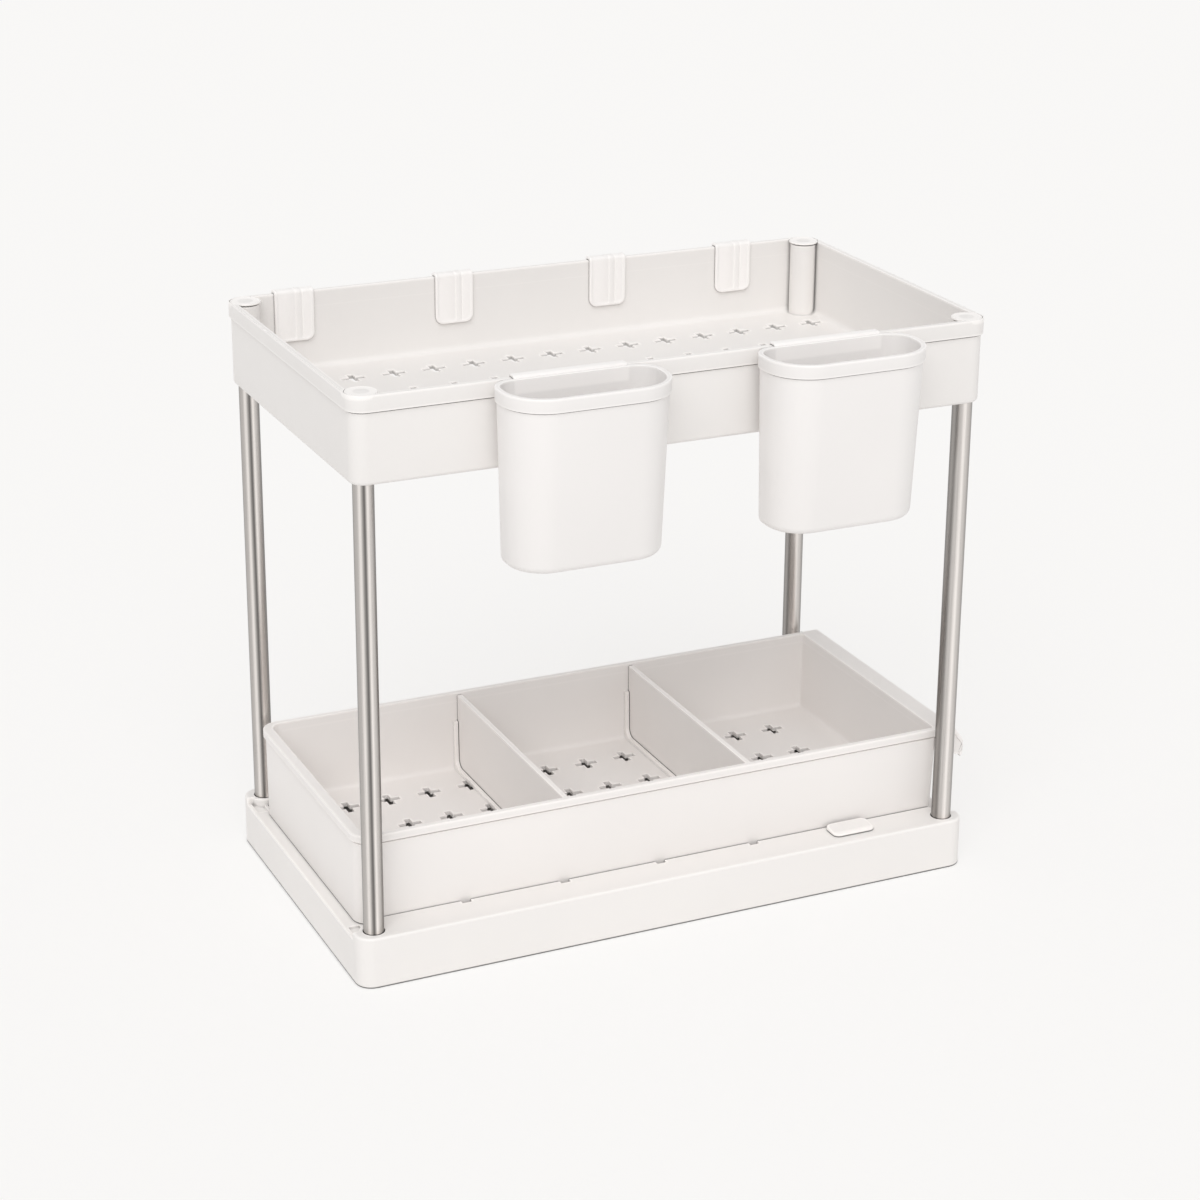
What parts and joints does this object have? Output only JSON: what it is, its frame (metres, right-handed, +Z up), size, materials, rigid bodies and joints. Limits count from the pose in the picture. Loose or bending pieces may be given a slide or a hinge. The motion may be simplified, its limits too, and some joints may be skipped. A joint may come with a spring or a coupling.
{
  "type": "two-tier cabinet organizer",
  "caption": "Two-tier organizer: moulded base with a sliding divided drawer, steel tube posts, and an upper tray with hanging cups and rim hooks.",
  "frame": {"origin": "middle of the base's flat underside, at the table surface", "axes": "+X is the end that the drawer slides out of, -Y the front with the cups, +Z up"},
  "size_m": [0.411, 0.2832, 0.3556],
  "materials": {
    "satin_plastic": "satin",
    "insert_plastic": "satin",
    "brushed_steel": "brushed"
  },
  "bodies": {
    "frame": {"base_frame": "satin_plastic", "drawer_stop_clip": "satin_plastic", "upper_tray": "satin_plastic", "post_front_left": "brushed_steel", "post_front_right": "brushed_steel", "post_back_left": "brushed_steel", "post_back_right": "brushed_steel", "cap_front_left": "satin_plastic", "cap_front_right": "satin_plastic", "cap_back_left": "satin_plastic", "cap_back_right": "satin_plastic"},
    "drawer": {"drawer": "satin_plastic"},
    "divider_left": {"divider_left": "insert_plastic"},
    "divider_right": {"divider_right": "insert_plastic"},
    "hook_1": {"hook_1": "satin_plastic"},
    "hook_2": {"hook_2": "satin_plastic"},
    "hook_3": {"hook_3": "satin_plastic"},
    "hook_4": {"hook_4": "satin_plastic"},
    "cup_1": {"cup_1": "satin_plastic"},
    "cup_2": {"cup_2": "satin_plastic"}
  },
  "joints": [
    {"name": "drawer_slide", "type": "slide", "parent": "frame", "child": "drawer", "axis": [1, 0, 0], "range_m": [0, 0.299]},
    {"name": "divider_left_lift", "type": "slide", "parent": "drawer", "child": "divider_left", "axis": [0, 0, 1], "range_m": [0, 0.053]},
    {"name": "divider_right_lift", "type": "slide", "parent": "drawer", "child": "divider_right", "axis": [0, 0, 1], "range_m": [0, 0.053]},
    {"name": "hook_1_lift", "type": "slide", "parent": "frame", "child": "hook_1", "axis": [0, 0, 1], "range_m": [0, 0.034]},
    {"name": "hook_2_lift", "type": "slide", "parent": "frame", "child": "hook_2", "axis": [0, 0, 1], "range_m": [0, 0.034]},
    {"name": "hook_3_lift", "type": "slide", "parent": "frame", "child": "hook_3", "axis": [0, 0, 1], "range_m": [0, 0.034]},
    {"name": "hook_4_lift", "type": "slide", "parent": "frame", "child": "hook_4", "axis": [0, 0, 1], "range_m": [0, 0.034]},
    {"name": "cup_1_lift", "type": "slide", "parent": "frame", "child": "cup_1", "axis": [0, 0, 1], "range_m": [0, 0.014]},
    {"name": "cup_2_lift", "type": "slide", "parent": "frame", "child": "cup_2", "axis": [0, 0, 1], "range_m": [0, 0.014]}
  ]
}
